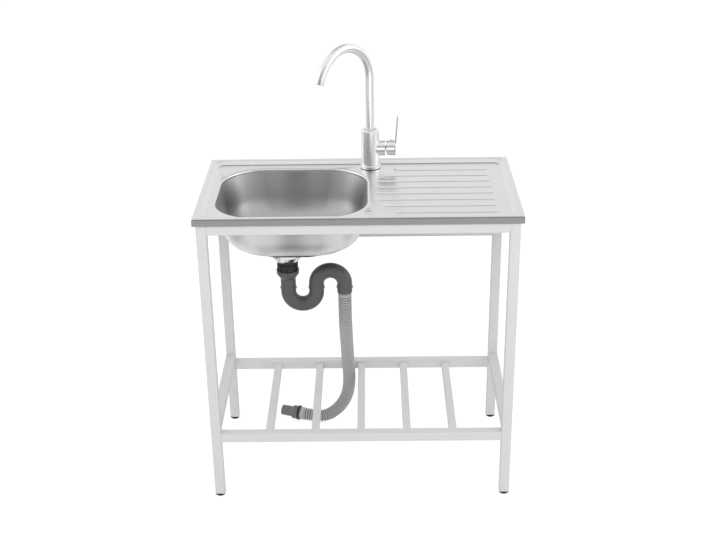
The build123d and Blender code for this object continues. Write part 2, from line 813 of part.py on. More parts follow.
with BuildPart() as shank:
    with BuildSketch(Plane.XY.offset(shank_end_z)):
        with Locations((tap_x, tap_y)):
            Circle(shank_radius)
    extrude(amount=body_z - shank_end_z)
    with BuildSketch(Plane.XY.offset(shank_end_z)):
        with Locations((tap_x - inlet_pitch / 2, tap_y), (tap_x + inlet_pitch / 2, tap_y)):
            Circle(inlet_bore_radius)
    extrude(amount=inlet_bore_depth, mode=Mode.SUBTRACT)
save(shank, "faucet_shank")

# Fixings under the deck, from the sheet downwards
deck_under_z = recess_z - sheet
gasket_z = deck_under_z - mount_gasket_thickness
washer_z = gasket_z - mount_washer_thickness
nut_z = washer_z - mount_nut_thickness
with BuildPart() as mounting_gasket:
    with BuildSketch(Plane.XY.offset(gasket_z)):
        with Locations((tap_x, tap_y)):
            Circle(mount_gasket_radius)
            Circle(shank_radius + shank_clearance, mode=Mode.SUBTRACT)
    extrude(amount=mount_gasket_thickness)
save(mounting_gasket, "mounting_gasket")

with BuildPart() as mounting_washer:
    with BuildSketch(Plane.XY.offset(washer_z)):
        with Locations((tap_x, tap_y)):
            Circle(mount_washer_radius)
            Circle(shank_radius + shank_clearance, mode=Mode.SUBTRACT)
    extrude(amount=mount_washer_thickness)
save(mounting_washer, "mounting_washer")

with BuildPart() as mounting_nut:
    with BuildSketch(Plane.XY.offset(nut_z)):
        with Locations((tap_x, tap_y)):
            RegularPolygon(mount_nut_flats / 2, 6, major_radius=False)
            Circle(shank_radius + thread_clearance, mode=Mode.SUBTRACT)
    extrude(amount=mount_nut_thickness)
save(mounting_nut, "mounting_nut")

# Cartridge, its nut and the spindle
cartridge_x = neck_end_x - cartridge_nut_length - cartridge_length
cartridge_end_x = neck_end_x - cartridge_nut_length
stem_x = cartridge_end_x - stem_depth
stem_end_x = neck_end_x + stem_reach
with BuildPart() as cartridge:
    with BuildSketch(Plane.YZ.offset(cartridge_x)):
        with Locations((tap_y, neck_z)):
            Circle(cartridge_radius)
    extrude(amount=cartridge_length)
    with BuildSketch(Plane.YZ.offset(cartridge_end_x)):
        with Locations((tap_y, neck_z)):
            Circle(stem_radius + running_clearance)
    extrude(amount=-stem_depth - running_clearance, mode=Mode.SUBTRACT)
save(cartridge, "mixer_cartridge")

with BuildPart() as cartridge_nut:
    with BuildSketch(Plane.YZ.offset(cartridge_end_x)):
        with Locations((tap_y, neck_z)):
            Circle(cartridge_radius)
            Circle(cartridge_nut_bore, mode=Mode.SUBTRACT)
    extrude(amount=cartridge_nut_length)
save(cartridge_nut, "cartridge_nut")

cap_x = neck_end_x + handle_gap
cap_end_x = cap_x + cap_length
pivot_x = cap_x + pivot_setback
with BuildPart() as spindle:
    with BuildSketch(Plane.YZ.offset(stem_x)):
        with Locations((tap_y, neck_z)):
            Circle(stem_radius)
    extrude(amount=stem_end_x - stem_x)
    with BuildSketch(Plane.XZ.offset(-tap_y)):
        with Locations((pivot_x, neck_z)):
            Circle(pin_radius + running_clearance)
    extrude(amount=stem_radius, both=True, mode=Mode.SUBTRACT)
save(spindle, "mixer_spindle")

with BuildPart() as handle_pin:
    with BuildSketch(Plane.XZ.offset(-tap_y)):
        with Locations((pivot_x, neck_z)):
            Circle(pin_radius)
    extrude(amount=pin_length / 2, both=True)
save(handle_pin, "handle_pin")

# Handle: a cap over the spindle, a lever on its end and a plug over the fixing screw
with BuildPart() as handle_cap:
    with BuildSketch(Plane.YZ.offset(cap_x)):
        with Locations((tap_y, neck_z)):
            Circle(cap_radius)
    extrude(amount=cap_length)
    with BuildSketch(Plane.YZ.offset(cap_x)):
        with Locations((tap_y, neck_z)):
            Circle(cap_cavity_radius)
    extrude(amount=cap_length - cap_end_wall, mode=Mode.SUBTRACT)
    with BuildSketch(Plane.XZ.offset(-tap_y)):
        with Locations((pivot_x, neck_z)):
            Circle(pin_radius + running_clearance)
    extrude(amount=pin_length / 2 + running_clearance, both=True, mode=Mode.SUBTRACT)
    # relief that lets the cap tilt towards the neck
    relief_depth = (cap_radius + 1 - cap_relief_start) * math.tan(
        math.radians(cap_relief_angle))
    with BuildSketch(Plane.XZ.offset(-tap_y)):
        with BuildLine():
            Polyline(
                (cap_x, neck_z - cap_relief_start),
                (cap_x, neck_z - cap_radius - 1),
                (cap_x + relief_depth, neck_z - cap_radius - 1),
                close=True,
            )
        make_face()
    extrude(amount=cap_radius + 1, both=True, mode=Mode.SUBTRACT)
    with BuildSketch(Plane.XY.offset(neck_z + cap_radius - plug_button_seat)):
        with Locations((cap_end_x - plug_button_inset, tap_y)):
            Circle(plug_button_radius + running_clearance)
    extrude(amount=cap_radius, mode=Mode.SUBTRACT)
save(handle_cap, "handle_cap")

with BuildPart() as handle_plug:
    with BuildSketch(Plane.XY.offset(neck_z + cap_radius - plug_button_seat)):
        with Locations((cap_end_x - plug_button_inset, tap_y)):
            Circle(plug_button_radius)
    extrude(amount=plug_button_seat + plug_button_height)
    chamfer(handle_plug.edges().group_by(Axis.Z)[-1], length=plug_button_radius / 3)
save(handle_plug, "handle_plug")

lean = math.radians(lever_lean)
blade_plane = Plane(
    origin=(cap_end_x + lever_thickness / 2, tap_y, neck_z),
    x_dir=(0, 1, 0),
    z_dir=(math.cos(lean), 0, -math.sin(lean)),
)
with BuildPart() as handle_lever:
    with BuildSketch(Plane.YZ.offset(cap_end_x)):
        with Locations((tap_y, neck_z)):
            Circle(cap_radius)
    extrude(amount=lever_thickness)
    chamfer(handle_lever.edges().sort_by(Axis.X)[-1], length=lever_thickness / 4)
    with BuildSketch(blade_plane) as blade:
        with Locations((0, cap_radius / 2)):
            Circle(lever_root_radius)
        with Locations((0, lever_rise)):
            Circle(lever_tip_radius)
        make_hull()
    extrude(amount=lever_thickness / 2, both=True)
    # nothing of the blade reaches back into the cap
    with BuildSketch(Plane.YZ.offset(cap_end_x)):
        with Locations((tap_y, neck_z)):
            Circle(cap_radius)
    extrude(amount=-lever_thickness, mode=Mode.SUBTRACT)
save(handle_lever, "handle_lever")

# =======================================================================================
# Spout
# =======================================================================================
spout_foot_z = body_top_z - spout_seat
arch_z = body_top_z + spout_rise
turn = math.radians(spout_turn)
reach_dir = Vector(-math.sin(turn), -math.cos(turn), 0)
spout_plane = Plane(
    origin=(tap_x, tap_y, 0),
    x_dir=reach_dir,
    z_dir=reach_dir.cross(Vector(0, 0, 1)),
)
with BuildLine(spout_plane) as spout_path:
    riser = Line((0, spout_foot_z), (0, arch_z))
    arch = CenterArc((arch_radius, arch_z), arch_radius, 180, -arch_angle)

with BuildPart() as spout:
    with BuildSketch(Plane.XY.offset(spout_foot_z)):
        with Locations((tap_x, tap_y)):
            Circle(spout_radius)
            Circle(spout_radius - spout_wall, mode=Mode.SUBTRACT)
    sweep(path=spout_path.wires()[0])
save(spout, "spout")

with BuildPart() as spout_bush:
    with BuildSketch(Plane.XY.offset(spout_foot_z)):
        with Locations((tap_x, tap_y)):
            Circle(spout_radius + running_clearance + bush_wall)
    extrude(amount=body_top_z - spout_foot_z)
    with BuildSketch(Plane.XY.offset(body_top_z)):
        with Locations((tap_x, tap_y)):
            Circle(bush_flange_radius)
    extrude(amount=bush_flange)
    with BuildSketch(Plane.XY.offset(spout_foot_z)):
        with Locations((tap_x, tap_y)):
            Circle(spout_radius + running_clearance)
    extrude(amount=spout_seat + bush_flange, mode=Mode.SUBTRACT)
save(spout_bush, "spout_bush")

arch_end = arch @ 1
aerator_face = Plane(origin=arch_end, z_dir=arch % 1)
with BuildPart() as aerator_housing:
    with BuildSketch(aerator_face):
        Circle(aerator_radius)
        Circle(aerator_radius - aerator_wall, mode=Mode.SUBTRACT)
    extrude(amount=aerator_length)
save(aerator_housing, "aerator_housing")

with BuildPart() as aerator_mesh:
    with BuildSketch(aerator_face.offset(aerator_length - mesh_setback)):
        Circle(aerator_radius - aerator_wall)
        with GridLocations(mesh_pitch, mesh_pitch, 3, 3):
            Rectangle(mesh_opening, mesh_opening, mode=Mode.SUBTRACT)
    extrude(amount=-mesh_thickness)
save(aerator_mesh, "aerator_mesh")
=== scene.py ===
# %% [markdown]
# # A free-standing kitchen sink unit
#
# The measured model of the sink unit is loaded as a fixed frame: every part of it is already
# in its place, in metres, with +Z up and the floor at zero. This lesson gives each part the
# finish of the real one, replaces the drain hose with a finely ribbed one, and adds the
# camera, the lamps and the floor.

import math

import bmesh
import bpy
from mathutils import Matrix, Vector


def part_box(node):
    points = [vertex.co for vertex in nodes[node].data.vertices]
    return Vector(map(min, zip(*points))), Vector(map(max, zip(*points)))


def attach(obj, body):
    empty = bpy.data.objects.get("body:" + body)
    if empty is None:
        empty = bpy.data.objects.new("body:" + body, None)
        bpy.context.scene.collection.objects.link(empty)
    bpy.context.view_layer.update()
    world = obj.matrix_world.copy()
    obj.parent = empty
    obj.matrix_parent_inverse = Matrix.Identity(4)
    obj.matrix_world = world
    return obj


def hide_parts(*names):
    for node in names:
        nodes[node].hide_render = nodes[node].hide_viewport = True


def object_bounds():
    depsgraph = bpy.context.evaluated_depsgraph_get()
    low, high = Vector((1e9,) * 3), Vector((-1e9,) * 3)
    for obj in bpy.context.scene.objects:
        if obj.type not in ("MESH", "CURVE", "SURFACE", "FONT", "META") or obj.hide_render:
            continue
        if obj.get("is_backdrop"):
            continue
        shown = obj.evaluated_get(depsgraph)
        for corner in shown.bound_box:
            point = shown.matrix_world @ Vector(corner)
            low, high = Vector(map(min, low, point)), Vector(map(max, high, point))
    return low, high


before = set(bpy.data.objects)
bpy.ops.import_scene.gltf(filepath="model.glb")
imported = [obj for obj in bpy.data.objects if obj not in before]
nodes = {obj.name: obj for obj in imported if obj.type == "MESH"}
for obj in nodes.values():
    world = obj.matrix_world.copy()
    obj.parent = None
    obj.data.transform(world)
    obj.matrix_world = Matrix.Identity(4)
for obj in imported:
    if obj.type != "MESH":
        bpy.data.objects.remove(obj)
measured_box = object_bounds()
print("parts loaded:", len(nodes), "box:", [round(value, 3) for value in measured_box[1]])

# %% [markdown]
# ## Camera
#
# The viewpoint was worked out from the edges of the deck and of the stand: it stands almost
# three metres in front, just under two metres high, and looks down at the sink. The lens
# comes from the same edges. A camera could be aimed with a constraint, but its three axes
# are known here, so its matrix is written from them directly.

# %% Camera
MM = 0.001


def aimed_camera(place, yaw, pitch, roll, lens):
    """Camera at a place in metres, turned by yaw, tilted down by pitch, then rolled.

    The lens is in millimetres, on a sensor 36 mm wide."""
    forward = Vector((math.sin(yaw) * math.cos(pitch), math.cos(yaw) * math.cos(pitch),
                      -math.sin(pitch)))
    side = Vector((math.cos(yaw), -math.sin(yaw), 0))
    above = side.cross(forward)
    right = math.cos(roll) * side + math.sin(roll) * above
    up = math.cos(roll) * above - math.sin(roll) * side
    data = bpy.data.cameras.new("sink_camera")
    data.sensor_width = 36
    data.lens = lens
    camera = bpy.data.objects.new("sink_camera", data)
    turn = Matrix((right, up, -forward)).transposed().to_4x4()
    camera.matrix_world = Matrix.Translation(place) @ turn
    bpy.context.scene.collection.objects.link(camera)
    return camera


camera_place = (0.0326, -2.8442, 1.8865)
camera_yaw, camera_tilt, camera_roll = -0.0130, 0.4351, -0.0150   # radians
camera_lens = 59.92                                               # mm
camera = aimed_camera(camera_place, camera_yaw, camera_tilt, camera_roll, camera_lens)
bpy.context.scene.camera = camera
print("camera height:", round(camera.location.z, 2), "m")

# %% [markdown]
# ## Drain hose
#
# The real hose is a blown plastic tube with a rib every 7 mm. It leaves the trap straight
# down, leans back between two slats of the shelf, turns left under one of them and lies on
# the floor. Its middle line is a smooth NURBS curve through few points. The ribs are too
# fine for a bevelled curve, so one ring is extruded from station to station along the line,
# wider on a crest and narrower in a valley, and then back along the bore.

# %% Middle line of the hose
hose_route_mm = [
    (-40, -14, 510), (-40, -14, 447), (-39.5, 5, 388), (-38.5, 55, 315), (-38, 104, 240),
    (-36, 134, 184), (-36, 146, 132), (-45, 152, 86), (-69, 156, 46), (-101, 157, 22),
    (-131, 157, 18.5), (-183, 171.5, 21.3),
]


def smooth_line(name, points_mm):
    """Points read from a NURBS spline with these control points, in metres."""
    curve = bpy.data.curves.new(name, "CURVE")
    curve.dimensions = "3D"
    curve.resolution_u = 24
    spline = curve.splines.new("NURBS")
    spline.points.add(len(points_mm) - 1)
    for point, place in zip(spline.points, points_mm):
        point.co = (*(value * MM for value in place), 1)
    spline.order_u = 3
    spline.use_endpoint_u = True
    holder = bpy.data.objects.new(name, curve)
    bpy.context.scene.collection.objects.link(holder)
    bpy.context.view_layer.update()
    mesh = bpy.data.meshes.new_from_object(holder)
    line = [vertex.co.copy() for vertex in mesh.vertices]
    bpy.data.objects.remove(holder)
    return line


hose_line = smooth_line("hose_line", hose_route_mm)
hose_marks = [0.0]
for before, after in zip(hose_line, hose_line[1:]):
    hose_marks.append(hose_marks[-1] + (after - before).length)
hose_length = hose_marks[-1]
print("hose line:", len(hose_line), "points,", round(hose_length, 4), "m")

# %% Stations along the line
def station(along):
    """Place and direction on the hose's line at a distance from its start."""
    along = min(max(along, 0.0), hose_length)
    for index in range(1, len(hose_line)):
        if hose_marks[index] >= along or index == len(hose_line) - 1:
            before, after = hose_line[index - 1], hose_line[index]
            share = (along - hose_marks[index - 1]) / (after - before).length
            middle_way = (after - before).normalized()
            ahead = hose_line[min(index + 1, len(hose_line) - 1)] - before
            behind = after - hose_line[max(index - 2, 0)]
            way = behind.normalized().lerp(ahead.normalized(), share)
            return before.lerp(after, share), (way + middle_way).normalized()


crest, valley, bore = 18 * MM, 14.7 * MM, 13.5 * MM   # radii
cuff = 14 * MM              # plain length at each end
cuff_flat = 0.9 * cuff      # the rest of it slopes down to the first rib
rib_pitch = 7 * MM
rib_count = round((hose_length - 2 * cuff) / rib_pitch)
rib_step = (hose_length - 2 * cuff) / rib_count
# shares of one rib and how far each stands between valley and crest
rib_profile = [(0.06, 0.0), (0.34, 0.0), (0.42, 0.45), (0.52, 0.9), (0.67, 1.0),
               (0.82, 0.9), (0.93, 0.45)]
rings = [(0.0, crest), (cuff_flat, crest)]
for rib in range(rib_count):
    for share, height in rib_profile:
        rings.append((cuff + (rib + share) * rib_step, valley + height * (crest - valley)))
rings += [(hose_length - cuff_flat, crest), (hose_length, crest)]
inner_count = 90            # rings of the smooth bore, back from the end to the start
rings += [(hose_length * (1 - index / inner_count), bore) for index in range(inner_count + 1)]
print("ribs:", rib_count, "rings:", len(rings))

# %% Ribbed tube
def ring_places(rings):
    """A matrix for each ring: the ring's plane follows the line without twisting."""
    place, way = station(rings[0][0])
    turn = way.to_track_quat("Z", "Y")
    for along, radius in rings:
        place, new_way = station(along)
        turn = way.rotation_difference(new_way) @ turn
        way = new_way
        yield Matrix.Translation(place) @ turn.to_matrix().to_4x4() @ Matrix.Scale(radius, 4)


def add_piece(name, mesh_builder, body):
    """Finished piece from a bmesh, which rides on a body of the frame."""
    mesh = bpy.data.meshes.new(name)
    mesh_builder.normal_update()
    mesh_builder.to_mesh(mesh)
    mesh_builder.free()
    mesh.shade_smooth()
    piece = bpy.data.objects.new(name, mesh)
    bpy.context.scene.collection.objects.link(piece)
    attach(piece, body)
    return piece


tube_sides = 28
tube = bmesh.new()
rib_height = tube.verts.layers.float.new("rib")   # 0 in a valley, 1 on a crest
places = list(ring_places(rings))
bmesh.ops.create_circle(tube, segments=tube_sides, radius=1, matrix=places[0])
ring_edges = tube.edges[:]
for before, after, (_, radius) in zip(places, places[1:], rings[1:]):
    grown = bmesh.ops.extrude_edge_only(tube, edges=ring_edges)["geom"]
    ring_verts = [item for item in grown if isinstance(item, bmesh.types.BMVert)]
    ring_edges = [item for item in grown if isinstance(item, bmesh.types.BMEdge)
                  and item.is_boundary]
    bmesh.ops.transform(tube, matrix=after @ before.inverted(), verts=ring_verts)
    for vertex in ring_verts:
        vertex[rib_height] = max((radius - valley) / (crest - valley), 0.0)
bmesh.ops.bridge_loops(tube, edges=[edge for edge in tube.edges if edge.is_boundary])
bmesh.ops.recalc_face_normals(tube, faces=tube.faces[:])
hose = add_piece("ribbed_drain_hose", tube, "sink_unit")
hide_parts("drain_hose")
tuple(hose_line[0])
print("hose faces:", len(hose.data.polygons))

# %% [markdown]
# ## Smooth curves on the measured parts
#
# The measured parts arrive as loose triangles. Their shapes are right, so they stay, but
# their curves would show facets. Shading them smooth is not enough, because loose triangles
# share no corners: a Weld modifier joins the corners first, and an Edge Split modifier then
# keeps every edge that turns by more than 28 degrees crisp.

# %% Smooth shading with crisp edges
same_corner = 0.005 * MM
crisp_turn = math.radians(28)
for name, part in nodes.items():
    if name == "drain_hose":
        continue
    part.data.shade_smooth()
    weld = part.modifiers.new("join_corners", "WELD")
    weld.merge_threshold = same_corner
    split = part.modifiers.new("keep_edges", "EDGE_SPLIT")
    split.split_angle = crisp_turn
print("parts smoothed:", len(nodes) - 1)

# %% [markdown]
# ## Finishes
#
# Every finish starts from what the real one is. One function reads a hex colour, one starts
# a material with the values that are the same all over, and one adds a node with its
# settings and links. Patterns are laid out on Object coordinates, which are metres here, so
# a pattern's scale follows from its real size.

# %% Helpers for the finishes
def paint(hex_colour):
    """Linear colour with alpha, from an sRGB hex value."""
    values = [int(hex_colour[i:i + 2], 16) / 255 for i in (1, 3, 5)]
    return (*(v / 12.92 if v <= 0.04045 else ((v + 0.055) / 1.055) ** 2.4 for v in values), 1)


def add_node(tree, kind, sockets=None, links=None, **settings):
    """Node of this kind with its settings, its sockets' values and its incoming links."""
    node = tree.nodes.new(kind)
    for name, value in settings.items():
        setattr(node, name, value)
    for name, value in (sockets or {}).items():
        node.inputs[name].default_value = value
    for name, source in (links or {}).items():
        tree.links.new(source, node.inputs[name])
    return node


def start_finish(name, hex_colour, roughness, metallic=0.0, **constants):
    """New material: returns it, its node tree and its shader with the constant values set."""
    material = bpy.data.materials.new(name)
    material.use_nodes = True
    shader = material.node_tree.nodes["Principled BSDF"]
    shader.inputs["Base Color"].default_value = paint(hex_colour)
    shader.inputs["Roughness"].default_value = roughness
    shader.inputs["Metallic"].default_value = metallic
    for socket, value in constants.items():
        shader.inputs[socket.replace("_", " ")].default_value = value
    return material, material.node_tree, shader


def dress(material, *names):
    """Give parts of the frame, or pieces, this finish."""
    for name in names:
        mesh = bpy.data.objects[name].data
        mesh.materials.clear()
        mesh.materials.append(material)
    print(material.name, "on", len(names), "parts")

# %% [markdown]
# ### Powder coat on the stand
#
# Powder coating is sprayed on dry and baked, so it flows into a skin that is smooth but for
# a faint orange peel, with waves about 2 mm wide. It is an ordinary plastic skin, not a
# metal: the steel under it does not show. The real stand is a very pale cool grey. A slower
# noise varies the gloss in patches some 80 mm wide, so long tubes don't look printed.

# %% Powder coat
def peel_bump(tree, shader, width_mm, height_mm):
    """Fine uneven skin: waves this wide and this high."""
    space = add_node(tree, "ShaderNodeTexCoord")
    waves = add_node(tree, "ShaderNodeTexNoise", {"Scale": 1 / (width_mm * MM), "Detail": 2.0},
                     {"Vector": space.outputs["Object"]})
    bump = add_node(tree, "ShaderNodeBump", {"Strength": 1.0, "Distance": height_mm * MM},
                    {"Height": waves.outputs["Fac"]})
    tree.links.new(bump.outputs["Normal"], shader.inputs["Normal"])
    return waves


powder_coat, tree, shader = start_finish("powder_coated_steel", "#D8D8D9", 0.42)
peel_bump(tree, shader, 2.0, 0.02)
patches_per_metre = 12.0
patches = add_node(tree, "ShaderNodeTexNoise", {"Scale": patches_per_metre, "Detail": 3.0},
                   {"Vector": add_node(tree, "ShaderNodeTexCoord").outputs["Object"]})
tone = add_node(tree, "ShaderNodeMapRange", {"To Min": 0.36, "To Max": 0.48},
                {"Value": patches.outputs["Fac"]})
tree.links.new(tone.outputs["Result"], shader.inputs["Roughness"])
stand_parts = [name for name in nodes
               if name.startswith(("leg_front", "leg_back", "top_rail", "shelf_", "rear_brace"))]
dress(powder_coat, *stand_parts)

# %% [markdown]
# ### Brushed stainless steel
#
# Stainless sheet is ground with a fine belt, which leaves hair lines in one direction. Such
# lines are far too fine for the picture, so they are drawn as streaks under a millimetre wide
# and 40 to 60 mm long: a noise squeezed across the lines by a Mapping node. They drive the
# roughness and a very low bump. The lines also smear every reflection to one side, which the
# shader's Anisotropic value does along a fixed Tangent.

# %% Brushed steel
def brushed_steel(name, hex_colour, roughness, streak_mm, anisotropic, tangent):
    """Ground metal: streak_mm is how wide a streak is along X, Y and Z.

    Returns the material, its tree, its shader and the bump of its streaks."""
    material, tree, shader = start_finish(name, hex_colour, roughness, 1.0,
                                          Anisotropic=anisotropic)
    space = add_node(tree, "ShaderNodeTexCoord")
    squeeze = add_node(tree, "ShaderNodeMapping",
                       {"Scale": tuple(1 / (size * MM) for size in streak_mm)},
                       {"Vector": space.outputs["Object"]})
    streaks = add_node(tree, "ShaderNodeTexNoise", {"Scale": 1.0, "Detail": 3.0},
                       {"Vector": squeeze.outputs["Vector"]})
    gloss = add_node(tree, "ShaderNodeMapRange",
                     {"To Min": roughness - 0.05, "To Max": roughness + 0.07},
                     {"Value": streaks.outputs["Fac"]})
    tree.links.new(gloss.outputs["Result"], shader.inputs["Roughness"])
    bump = add_node(tree, "ShaderNodeBump", {"Strength": 0.5, "Distance": 0.01 * MM},
                    {"Height": streaks.outputs["Fac"]})
    tree.links.new(bump.outputs["Normal"], shader.inputs["Normal"])
    smear = add_node(tree, "ShaderNodeCombineXYZ", dict(zip("XYZ", tangent)))
    tree.links.new(smear.outputs["Vector"], shader.inputs["Tangent"])
    return material, tree, shader, bump

# %% [markdown]
# #### The deck
#
# The deck is ground along its length. Its front edge is folded down, and there its colour is
# painted darker: painted shade for the upright lip, standing in for its darker reflection. The
# colour changes over the 2 mm in which the sheet turns down.

# %% Steel of the deck
deck_steel, tree, shader, streak_bump = brushed_steel(
    "brushed_stainless_sheet", "#E1E1E0", 0.25, (60, 0.8, 0.8), 0.4, (1.0, 0.0, 0.1))
lip_starts, lip_ends = -0.2118, -0.2140
place = add_node(tree, "ShaderNodeSeparateXYZ", None,
                 {0: add_node(tree, "ShaderNodeTexCoord").outputs["Object"]})
forward = add_node(tree, "ShaderNodeMapRange",
                   {"From Min": lip_starts, "From Max": lip_ends, "To Min": 0.0, "To Max": 1.0},
                   {"Value": place.outputs["Y"]})
# painted shade: the folded front lip is coloured darker than the top
lip_painted_shade = add_node(tree, "ShaderNodeMix", {"A": paint("#E0E0DF"), "B": paint("#A2A2A1")},
                    {"Factor": forward.outputs["Result"]}, data_type="RGBA")
tree.links.new(lip_painted_shade.outputs["Result"], shader.inputs["Base Color"])
dress(deck_steel, "sink_deck")

# %% [markdown]
# #### The spare tap place
#
# Beside the bowl the sheet carries a pressed mark, where a second tap could be punched. The
# mark is a shape of the measured deck. A bump swells it by a little more, so that its middle
# catches the light as a low dome. The streaks' bump then starts from the dome's normal.

# %% Dome of the spare tap place
mark_middle, mark_radius, mark_height = (0.025, -0.146, 0.794), 19 * MM, 2.4 * MM
from_mark = add_node(tree, "ShaderNodeVectorMath", {1: mark_middle},
                     {0: add_node(tree, "ShaderNodeTexCoord").outputs["Object"]},
                     operation="DISTANCE")
dome = add_node(tree, "ShaderNodeMapRange",
                {"From Min": mark_radius, "From Max": 0.0, "To Min": 0.0, "To Max": 1.0},
                {"Value": from_mark.outputs["Value"]}, interpolation_type="SMOOTHSTEP")
mark = add_node(tree, "ShaderNodeBump", {"Distance": mark_height},
                {"Height": dome.outputs["Result"]})
tree.links.new(mark.outputs["Normal"], streak_bump.inputs["Normal"])
print("dome:", round(2 * mark_radius / MM), "mm wide")

# %% [markdown]
# #### The bowl
#
# The bowl is drawn from one sheet and given a satin finish inside, duller than the deck's. Its
# colour is painted: darker inside as painted shade in the hollow, paler outside as painted light
# on the outer walls. Which side a point is on follows from its normal: on the outside the normal
# points away from the bowl's middle.

# %% Steel of the bowl
bowl_steel, tree, shader, streak_bump = brushed_steel(
    "satin_stainless_bowl", "#BABAB9", 0.38, (40, 40, 0.8), 0.6, (0.15, 0.0, 1.0))
bowl_middle = (-0.167, -0.014, 0.80)
from_middle = add_node(tree, "ShaderNodeVectorMath", {1: bowl_middle},
                       {0: add_node(tree, "ShaderNodeTexCoord").outputs["Object"]},
                       operation="SUBTRACT")
normal = add_node(tree, "ShaderNodeNewGeometry").outputs["Normal"]
facing_out = add_node(tree, "ShaderNodeVectorMath", None,
                      {0: from_middle.outputs["Vector"], 1: normal}, operation="DOT_PRODUCT")
outside = add_node(tree, "ShaderNodeMath", {1: 0.0}, {0: facing_out.outputs["Value"]},
                   operation="GREATER_THAN")
# painted shade and painted light: one steel, coloured darker inside the bowl and paler outside
tone = add_node(tree, "ShaderNodeMix", {"A": paint("#BABAB9"), "B": paint("#E8E8E7")},
                {"Factor": outside.outputs[0]}, data_type="RGBA")
dress(bowl_steel, "sink_bowl")

# %% [markdown]
# #### The dark band under the bowl
#
# The outside of the bowl is painted near-black below a height just above the damping pad. From
# the front its edge just shows as a dark line along the bottom. It is a colour and not a piece.

# %% Dark band under the bowl
dark_band_above_pad = 13 * MM
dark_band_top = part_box("damping_pad")[1][2] + dark_band_above_pad
height = add_node(tree, "ShaderNodeSeparateXYZ", None,
                  {0: add_node(tree, "ShaderNodeTexCoord").outputs["Object"]})
low = add_node(tree, "ShaderNodeMath", {1: dark_band_top}, {0: height.outputs["Z"]},
               operation="LESS_THAN")
dark_band_mask = add_node(tree, "ShaderNodeMath", None, {0: low.outputs[0], 1: outside.outputs[0]},
                  operation="MULTIPLY")
# near-black on the outside of the bowl's bottom, giving the dark line along its lower edge
dark_band_tone = add_node(tree, "ShaderNodeMix", {"B": paint("#1C1C1C")},
                     {"Factor": dark_band_mask.outputs[0], "A": tone.outputs["Result"]},
                     data_type="RGBA")
tree.links.new(dark_band_tone.outputs["Result"], shader.inputs["Base Color"])
print("coat reaches up to", round(dark_band_top, 3), "m")

# %% [markdown]
# #### The bow of the walls
#
# A drawn wall is never quite flat: between its corners it bows outwards, and so its middle
# reflects something else than its ends. The measured walls are straight. The bow is only a
# bump here, a cosine along the bowl's length, so it changes how the wall reflects and not
# where it is. It fades out on the floor and the rim, where the normal points up or down.

# %% Bow of the walls
wall_bow, bow_reach = 11 * MM, 120 * MM
offset = add_node(tree, "ShaderNodeSeparateXYZ", None, {0: from_middle.outputs["Vector"]})
turn = add_node(tree, "ShaderNodeMapRange",
                {"From Min": -bow_reach, "From Max": bow_reach, "To Min": -math.pi,
                 "To Max": math.pi}, {"Value": offset.outputs["X"]})
swell = add_node(tree, "ShaderNodeMath", None, {0: turn.outputs["Result"]},
                 operation="COSINE")
depth = add_node(tree, "ShaderNodeMapRange", {"To Min": -wall_bow, "To Max": wall_bow},
                 {"Value": outside.outputs[0]})
bow = add_node(tree, "ShaderNodeMath", None,
               {0: swell.outputs[0], 1: depth.outputs["Result"]}, operation="MULTIPLY")
normal_parts = add_node(tree, "ShaderNodeSeparateXYZ", None, {0: normal})
upright = add_node(tree, "ShaderNodeMath", {1: 2.0}, {0: normal_parts.outputs["Z"]},
                   operation="POWER")
walls_only = add_node(tree, "ShaderNodeMath", {0: 1.0}, {1: upright.outputs[0]},
                      operation="SUBTRACT")
bowed = add_node(tree, "ShaderNodeBump", {"Distance": 1.0},
                 {"Height": bow.outputs[0], "Strength": walls_only.outputs[0]})
tree.links.new(bowed.outputs["Normal"], streak_bump.inputs["Normal"])
print("bow in the bump:", round(wall_bow / MM), "mm")

# %% [markdown]
# #### The tap
#
# The tap is turned and ground round its axis. It is a little paler than the deck, with upright
# streaks, and it smears its reflections the long way of the body and the spout.

# %% Steel of the tap
tap_steel = brushed_steel(
    "satin_steel_tap", "#EDEDEC", 0.27, (0.7, 0.7, 40), 0.6, (0.15, 0.0, 1.0))[0]
dress(tap_steel, "tap_base_ring", "faucet_body", "handle_cap", "handle_lever", "handle_plug",
      "spout", "aerator_housing", "cartridge_nut")

# %% [markdown]
# ### Chrome and zinc
#
# The strainer is polished and chrome plated: nearly a mirror, with the faintest haze from
# wiping. The tap's hidden nut, washer, shank and spindle are only zinc plated, which is
# duller and slightly mottled.

# %% Chrome and zinc
def plated_metal(name, hex_colour, roughness, spots_per_metre, detail, smoothest, roughest):
    """Plated metal, whose roughness varies in spots between two values."""
    material, tree, shader = start_finish(name, hex_colour, roughness, 1.0)
    spots = add_node(tree, "ShaderNodeTexNoise", {"Scale": spots_per_metre, "Detail": detail},
                     {"Vector": add_node(tree, "ShaderNodeTexCoord").outputs["Object"]})
    gloss = add_node(tree, "ShaderNodeMapRange", {"To Min": smoothest, "To Max": roughest},
                     {"Value": spots.outputs["Fac"]})
    tree.links.new(gloss.outputs["Result"], shader.inputs["Roughness"])
    return material


dress(plated_metal("polished_chrome_plate", "#E2E3E5", 0.08, 60.0, 4.0, 0.05, 0.16),
      "strainer_body", "basket")
dress(plated_metal("zinc_plated_steel", "#B9BBBE", 0.35, 250.0, 3.0, 0.28, 0.5),
      "faucet_shank", "mounting_washer", "mounting_nut", "mixer_spindle", "handle_pin")
